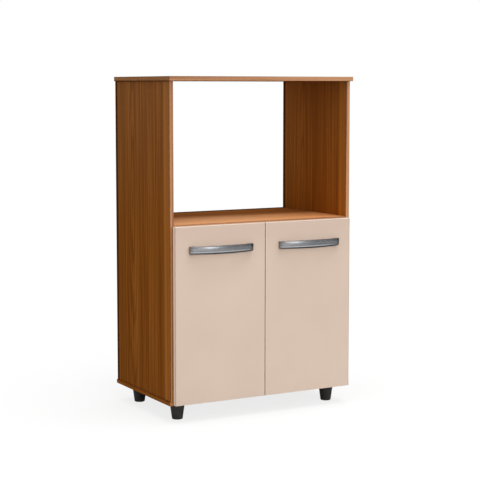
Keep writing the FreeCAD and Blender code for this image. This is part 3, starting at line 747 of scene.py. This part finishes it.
# the soft light, and the parts of its direction between which it grows full towards the front
surround_light = 1.05
surround_back = (174, 174, 174)
surround_front = (0.1, -0.8)
# the room in reflections, and the parts of its direction between which it changes to the right, up and behind
room_bright = (190, 190, 190)
room_middle = (150, 150, 152)
room_dim = (84, 84, 86)
room_middle_right = (0.20, 0.55)
room_dim_right = (0.78, 0.98)
room_white_up = (0.47, 0.62)
room_white_behind = (0.0, 0.3)
lamp_target = Vector((0.0, 0.0, 0.5))
# name: degrees to the right of the front, degrees above level, distance, width and height, light given to a
# facing board, and whether metal mirrors it
lamps = {
    "top_lamp": (25.0, 81.0, 10.0, (8.0, 8.0), 0.80, False),
    "front_lamp": (10.0, 16.5, 8.0, (1.8, 3.6), 0.058, True),
    "front_fill": (5.0, 8.0, 8.0, (6.0, 2.0), 0.20, False),
}
camera_place = (-2.0389, -3.7003, 0.9688)
# degrees that the camera looks to the right of +Y and below level
camera_turn = 29.04
camera_dip = 5.69
# millimetres
camera_lens = 103.95
camera_sensor = 36.0
camera_shift = -0.03


def make_floor():
    """Pale floor that stays white in view and keeps the cabinet's shadow."""
    mesh = bpy.data.meshes.new("studio_floor")
    corners = [(x * floor_half, y * floor_half, -floor_drop) for x, y in ((-1, -1), (1, -1), (1, 1), (-1, 1))]
    mesh.from_pydata(corners, [], [(0, 1, 2, 3)])
    floor = bpy.data.objects.new("studio_floor", mesh)
    bpy.context.scene.collection.objects.link(floor)
    material = bpy.data.materials.new("floor_white")
    material.use_nodes = True
    tree = material.node_tree
    tree.nodes.clear()
    path = place(tree, "ShaderNodeLightPath").outputs
    straight = sums(tree, "MAXIMUM", path["Is Camera Ray"], path["Is Transmission Ray"])
    mirrored = sums(tree, "MULTIPLY", path["Is Glossy Ray"], sums(tree, "SUBTRACT", 1.0, straight))
    spot = place(tree, "ShaderNodeTexCoord").outputs["Object"]
    away = vectors(tree, "LENGTH", spot)
    to_right = spread(tree, apart(tree, spot)["X"], *floor_fade_right)
    white_seen = sums(tree, "MULTIPLY", straight, spread(tree, away, *floor_fade_seen, floor_white_near, 1.0))
    side_white = spread(tree, to_right, 0.0, 1.0, 1.0, floor_white_right)
    far_white = sums(tree, "MULTIPLY", spread(tree, away, *floor_fade_mirrored), side_white)
    white_share = sums(tree, "MAXIMUM", white_seen, sums(tree, "MULTIPLY", mirrored, far_white))
    tone = blended(tree, straight, paint(floor_bounce), paint(floor_pale))
    mirror_tone = blended(tree, to_right, paint(floor_mirrored), paint(floor_mirrored_right))
    tone = blended(tree, mirrored, tone, mirror_tone)
    lit = place(tree, "ShaderNodeBsdfDiffuse", {}, {"Color": tone})
    white = place(tree, "ShaderNodeEmission", {}, {"Color": paint(studio_white), "Strength": 1.0})
    both = place(tree, "ShaderNodeMixShader", {}, {0: white_share, 1: lit.outputs[0], 2: white.outputs[0]})
    place(tree, "ShaderNodeOutputMaterial", {}, {"Surface": both.outputs[0]})
    mesh.materials.append(material)


def make_surround():
    """Soft light, most of it from the front. It is white in view, and a dimmer room in reflections."""
    world = bpy.data.worlds.new("studio_surround")
    world.use_nodes = True
    tree = world.node_tree
    tree.nodes.clear()
    towards = place(tree, "ShaderNodeTexCoord").outputs["Generated"]
    across, ahead, up = apart(tree, towards)
    room = paint(room_bright)
    for direction, limits, tone in (
        (across, room_middle_right, room_middle),
        (across, room_dim_right, room_dim),
        (up, room_white_up, studio_white),
        (ahead, room_white_behind, studio_white),
    ):
        room = blended(tree, spread(tree, direction, *limits), room, paint(tone))
    path = place(tree, "ShaderNodeLightPath").outputs
    straight = sums(tree, "MAXIMUM", path["Is Camera Ray"], path["Is Transmission Ray"])
    seen = sums(tree, "MAXIMUM", straight, path["Is Glossy Ray"])
    soft = blended(tree, spread(tree, ahead, *surround_front), paint(surround_back), paint(studio_white))
    view = blended(tree, straight, room, paint(studio_white))
    lighting = place(tree, "ShaderNodeBackground", {}, {"Color": soft, "Strength": surround_light})
    backdrop = place(tree, "ShaderNodeBackground", {}, {"Color": view, "Strength": 1.0})
    both = place(tree, "ShaderNodeMixShader", {}, {0: seen, 1: lighting.outputs[0], 2: backdrop.outputs[0]})
    place(tree, "ShaderNodeOutputWorld", {}, {"Surface": both.outputs[0]})
    bpy.context.scene.world = world


def make_lamp(name, turn, rise, distance, size, share, mirrored):
    """Soft lamp that faces the cabinet."""
    turn, rise = math.radians(turn), math.radians(rise)
    towards = Vector((math.sin(turn) * math.cos(rise), -math.cos(turn) * math.cos(rise), math.sin(rise)))
    data = bpy.data.lights.new(name, "AREA")
    data.shape = "RECTANGLE"
    data.size, data.size_y = size
    data.energy = share * math.pi * math.pi * distance * distance
    lamp = bpy.data.objects.new(name, data)
    lamp.location = lamp_target + towards * distance
    lamp.rotation_mode = "QUATERNION"
    lamp.rotation_quaternion = (-towards).to_track_quat("-Z", "Y")
    lamp.visible_glossy = mirrored
    bpy.context.scene.collection.objects.link(lamp)


def make_camera():
    """Camera where the photograph was taken from, tilted down to the cabinet."""
    data = bpy.data.cameras.new("photo_camera")
    data.lens = camera_lens
    data.sensor_width = camera_sensor
    data.shift_y = camera_shift
    camera = bpy.data.objects.new("photo_camera", data)
    camera.location = camera_place
    camera.rotation_euler = (math.radians(90.0 - camera_dip), 0.0, math.radians(-camera_turn))
    bpy.context.scene.collection.objects.link(camera)
    bpy.context.scene.camera = camera


make_floor()
make_surround()
for name, values in lamps.items():
    make_lamp(name, *values)
make_camera()
bpy.context.scene.view_settings.view_transform = "Standard"
